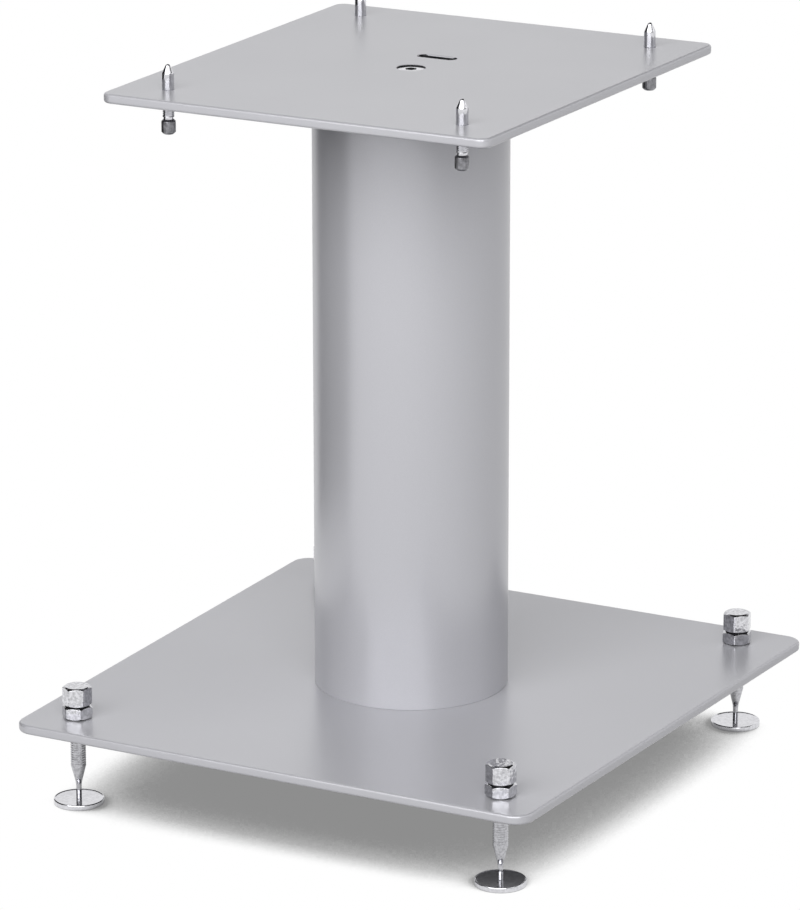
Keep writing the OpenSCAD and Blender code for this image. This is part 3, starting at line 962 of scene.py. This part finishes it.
def disc_mesh(top, lip):
    face = top - lip
    floor_z = face - DISC_CUP_DEPTH
    cup = [(DISC_CUP_R * math.sin(a), floor_z + DISC_CUP_R * (1 - math.cos(a)))
           for a in [math.pi / 2 * i / 8 * 0.87 for i in range(9)]]
    rest = rounded([
        cup[-1], (DISC_CUP_R, face), (DISC_R - DISC_LIP, face), (DISC_R - DISC_LIP + lip, top),
        (DISC_R - lip, top), (DISC_R, face), (DISC_R, 0.3), (DISC_R - 0.3, 0), (1, 0), (0, 0),
    ], 0.25, 3)
    return turned(cup[:-1] + rest, 96)


for corner in CORNERS:
    node = "floor_disc_" + corner
    piece = make_piece(node + "_chromed", disc_mesh(height_of(node)[1], 0.4), chrome, "disc_" + corner,
                       node, at=(*middle_of(node), 0), sharp=30)
print("Floor disc:", len(piece.data.polygons), "faces each")

# %% [markdown]
# The four top spikes are M6 rods. Above the plate they are plain and end in a cone with a
# round nose, and below it a short thread runs down to a plain neck. A fluted knob is pressed on
# the lower end, so that each spike can be screwed up or down by hand.

# %% Top spikes
SPIKE_R = 3.0
SPIKE_PITCH = 1.0
SPIKE_GROOVE = 0.45
SPIKE_POINT = 4.5
NOSE_R = 1.35
NECK_R = 2.5
NECK_H = 1.2
STUB_R = 2.0
STUB_L = 6
SPIKE_SEGMENTS = 40
NOSE_STEPS = 8


def top_spike_mesh(bottom, top):
    shoulder = top - SPIKE_POINT
    knob_top = bottom + STUB_L
    neck_top = knob_top + NECK_H
    lower = turned([(0, bottom), (STUB_R, bottom), (STUB_R, knob_top), (NECK_R, knob_top),
                    (NECK_R, neck_top), (SPIKE_R, neck_top)], SPIKE_SEGMENTS)
    thread = threaded(SPIKE_R, SPIKE_GROOVE, SPIKE_PITCH, neck_top, top_bottom + 1, SPIKE_SEGMENTS)
    # The cone meets the nose where both have the same slope
    rise = SPIKE_POINT - NOSE_R
    start = math.atan2(rise, -SPIKE_R) - math.asin(NOSE_R / math.hypot(SPIKE_R, rise)) - math.pi / 2
    nose = [(NOSE_R * math.cos(a), top - NOSE_R + NOSE_R * math.sin(a))
            for a in [start + (math.pi / 2 - start) * i / NOSE_STEPS for i in range(NOSE_STEPS)]]
    point = rounded([(SPIKE_R, top_bottom + 1), (SPIKE_R, shoulder), nose[0]], 0.3, 4)
    return joined(lower, thread, turned([*point, *nose[1:], (0, top)], SPIKE_SEGMENTS))


for corner in CORNERS:
    node = "top_spike_" + corner
    x, y = middle_of(node)
    piece = make_piece(node + "_chromed", top_spike_mesh(*height_of(node)), chrome, "spike_" + corner,
                       node, at=(x, y, 0), sharp=50)
print("Top spike:", len(piece.data.polygons), "faces each")

# %% [markdown]
# A knob is turned from bar, and a round cutter then mills its flutes. The radius of each ring is
# therefore a formula of the angle: full on the ribs, and a circular dip in each flute. The flutes
# are a fine grip for two fingers, less than 0.1 mm deep.

# %% Knobs
KNOB_R = 3.6
KNOB_FLUTES = 24
KNOB_BEVEL = 1.1
FLUTE_R = 0.236
FLUTE_OUT = 0.15
FLUTE_STEPS = 8


def knob_mesh(bottom, top):
    spacing = math.tau / KNOB_FLUTES

    def ring(radius, z):
        def at(angle):
            across = radius * math.sin((angle + spacing / 2) % spacing - spacing / 2)
            cut = math.sqrt(max(0.0, FLUTE_R ** 2 - across ** 2)) - FLUTE_OUT
            return radius - max(0.0, cut - (KNOB_R - radius)), z
        return at

    rings = rounded([
        (STUB_R + 0.1, bottom), (KNOB_R - KNOB_BEVEL, bottom), (KNOB_R, bottom + KNOB_BEVEL),
        (KNOB_R, top - KNOB_BEVEL), (KNOB_R - KNOB_BEVEL, top), (STUB_R + 0.1, top),
    ], 0.2, 2)
    bore_r = STUB_R + THREAD_GAP
    profile = [(0, bottom), *[ring(r, z) for r, z in rings], (bore_r, top), (bore_r, top - STUB_L - 0.1),
               (0, top - STUB_L - 0.1)]
    return turned(profile, KNOB_FLUTES * FLUTE_STEPS)


for corner in CORNERS:
    node = "knob_" + corner
    piece = make_piece(node + "_plated", knob_mesh(*height_of(node)), nickel, "spike_" + corner,
                       node, at=(*middle_of(node), 0), sharp=30)
print("Knob:", len(piece.data.polygons), "faces each")

# %% [markdown]
# The ring and the disc inside the column, and the two pins, can only be seen when the stand is
# taken apart or looked at from below. Their CAD shapes are right, so they only get their finish.

# %% Parts inside the column
for node in ("column_flange", "column_bridge", "locating_pins"):
    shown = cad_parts[node]
    shown.data.materials.clear()
    shown.data.materials.append(zinc)
print("Inside the column: zinc plating")
